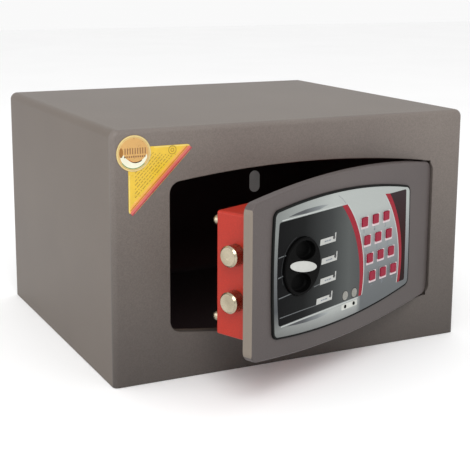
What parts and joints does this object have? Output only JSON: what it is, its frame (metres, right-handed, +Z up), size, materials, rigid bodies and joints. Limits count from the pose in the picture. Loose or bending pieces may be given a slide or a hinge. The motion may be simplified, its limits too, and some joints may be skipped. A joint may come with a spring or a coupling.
{
  "type": "in-room safe",
  "caption": "Free-standing steel in-room safe with an arched hinged door, keypad, rotary knob and a lock case that shoots round bolts.",
  "frame": {"origin": "centre of the body's base, which is the centre of the floor fixing holes", "axes": "+Z up, -Y out of the front face, +X towards the hinge side"},
  "size_m": [0.4, 0.4663, 0.25],
  "materials": {
    "body_paint": "satin textured powder coat",
    "door_paint": "satin textured powder coat",
    "red_paint": "satin powder coat",
    "nickel": "turned, nickel plated",
    "steel": "zinc plated",
    "brass": "turned",
    "seal_rubber": "matt",
    "black_plastic": "fine moulded texture",
    "silver_panel": "metallic silver",
    "dark_overlay": "printed film",
    "red_print": "printed film",
    "white_print": "printed film",
    "lens": "translucent",
    "lens_dark": "tinted lens",
    "red_key": "moulded",
    "yellow_sticker": "vinyl",
    "gold_sticker": "foil",
    "circuit_board": "solder mask",
    "cell_jacket": "printed jacket",
    "grey_plastic": "fine moulded texture",
    "grey_cable": "ribbon cable"
  },
  "bodies": {
    "body": {"front_frame": "body_paint", "body_wrap": "body_paint", "back_panel": "body_paint", "hole_plugs": "grey_plastic", "strike_bar": "body_paint", "hinge_pins": "steel", "hinge_collar": "brass", "triangle_sticker": "yellow_sticker", "round_seal": "gold_sticker"},
    "door": {"door_plate": "door_paint", "keypad_seal": "seal_rubber", "keypad_bezel": "silver_panel", "overlay_left": "dark_overlay", "overlay_right": "dark_overlay", "red_bands": "red_print", "status_windows": "lens", "status_leds": "lens_dark", "function_labels": "white_print", "power_contacts": "nickel", "bezel_screws": "steel", "keypad_board": "circuit_board", "key_domes": "steel", "knob_bush": "brass", "guide_pins": "steel", "lock_case": "red_paint", "bolt_liners": "red_paint", "case_posts": "steel", "case_screws": "nickel", "battery_hatch": "red_paint", "hatch_screw": "nickel", "battery_holder": "black_plastic", "batteries": "cell_jacket", "board_standoffs": "brass", "control_board": "circuit_board", "ribbon_cable": "grey_cable", "lock_motor": "black_plastic", "motor_bracket": "steel"},
    "knob": {"knob": "black_plastic", "knob_badge": "white_print", "spindle": "steel", "spindle_clip": "steel", "crank_disc": "steel"},
    "bolts": {"bolt_carriage": "steel", "bolt_lower": "nickel", "bolt_upper": "nickel", "bolt_screws": "steel"},
    "blocking_pin": {"blocking_pin": "steel"},
    "key_1": {"key_1": "red_key"},
    "key_2": {"key_2": "red_key"},
    "key_3": {"key_3": "red_key"},
    "key_4": {"key_4": "red_key"},
    "key_5": {"key_5": "red_key"},
    "key_6": {"key_6": "red_key"},
    "key_7": {"key_7": "red_key"},
    "key_8": {"key_8": "red_key"},
    "key_9": {"key_9": "red_key"},
    "key_clear": {"key_clear": "red_key"},
    "key_0": {"key_0": "red_key"},
    "key_enter": {"key_enter": "red_key"}
  },
  "joints": [
    {"name": "door_swing", "type": "hinge", "parent": "body", "child": "door", "pos_m": [0.1545, -0.17, 0.1225], "axis": [0, 0, 1], "range_deg": [-23.5, 71.5]},
    {"name": "knob_turn", "type": "hinge", "parent": "door", "child": "knob", "pos_m": [-0.04957, -0.26418, 0.1272], "axis": [0.3987, -0.9171, 0], "range_deg": [0, 90]},
    {"name": "bolt_slide", "type": "slide", "parent": "door", "child": "bolts", "axis": [-0.9171, -0.3987, 0], "range_m": [0, 0.018]},
    {"name": "blocking_slide", "type": "slide", "parent": "door", "child": "blocking_pin", "axis": [0, 0, -1], "range_m": [0, 0.0055]},
    {"name": "key_1_press", "type": "slide", "parent": "door", "child": "key_1", "axis": [-0.3987, 0.9171, 0], "range_m": [0, 0.0009], "stiffness_N_per_m": 900, "springref_m": -0.001},
    {"name": "key_2_press", "type": "slide", "parent": "door", "child": "key_2", "axis": [-0.3987, 0.9171, 0], "range_m": [0, 0.0009], "stiffness_N_per_m": 900, "springref_m": -0.001},
    {"name": "key_3_press", "type": "slide", "parent": "door", "child": "key_3", "axis": [-0.3987, 0.9171, 0], "range_m": [0, 0.0009], "stiffness_N_per_m": 900, "springref_m": -0.001},
    {"name": "key_4_press", "type": "slide", "parent": "door", "child": "key_4", "axis": [-0.3987, 0.9171, 0], "range_m": [0, 0.0009], "stiffness_N_per_m": 900, "springref_m": -0.001},
    {"name": "key_5_press", "type": "slide", "parent": "door", "child": "key_5", "axis": [-0.3987, 0.9171, 0], "range_m": [0, 0.0009], "stiffness_N_per_m": 900, "springref_m": -0.001},
    {"name": "key_6_press", "type": "slide", "parent": "door", "child": "key_6", "axis": [-0.3987, 0.9171, 0], "range_m": [0, 0.0009], "stiffness_N_per_m": 900, "springref_m": -0.001},
    {"name": "key_7_press", "type": "slide", "parent": "door", "child": "key_7", "axis": [-0.3987, 0.9171, 0], "range_m": [0, 0.0009], "stiffness_N_per_m": 900, "springref_m": -0.001},
    {"name": "key_8_press", "type": "slide", "parent": "door", "child": "key_8", "axis": [-0.3987, 0.9171, 0], "range_m": [0, 0.0009], "stiffness_N_per_m": 900, "springref_m": -0.001},
    {"name": "key_9_press", "type": "slide", "parent": "door", "child": "key_9", "axis": [-0.3987, 0.9171, 0], "range_m": [0, 0.0009], "stiffness_N_per_m": 900, "springref_m": -0.001},
    {"name": "key_clear_press", "type": "slide", "parent": "door", "child": "key_clear", "axis": [-0.3987, 0.9171, 0], "range_m": [0, 0.0009], "stiffness_N_per_m": 900, "springref_m": -0.001},
    {"name": "key_0_press", "type": "slide", "parent": "door", "child": "key_0", "axis": [-0.3987, 0.9171, 0], "range_m": [0, 0.0009], "stiffness_N_per_m": 900, "springref_m": -0.001},
    {"name": "key_enter_press", "type": "slide", "parent": "door", "child": "key_enter", "axis": [-0.3987, 0.9171, 0], "range_m": [0, 0.0009], "stiffness_N_per_m": 900, "springref_m": -0.001}
  ],
  "couplings": [
    {"joint": "knob_turn", "follows": "bolt_slide", "rad_per_m": 87.26}
  ]
}
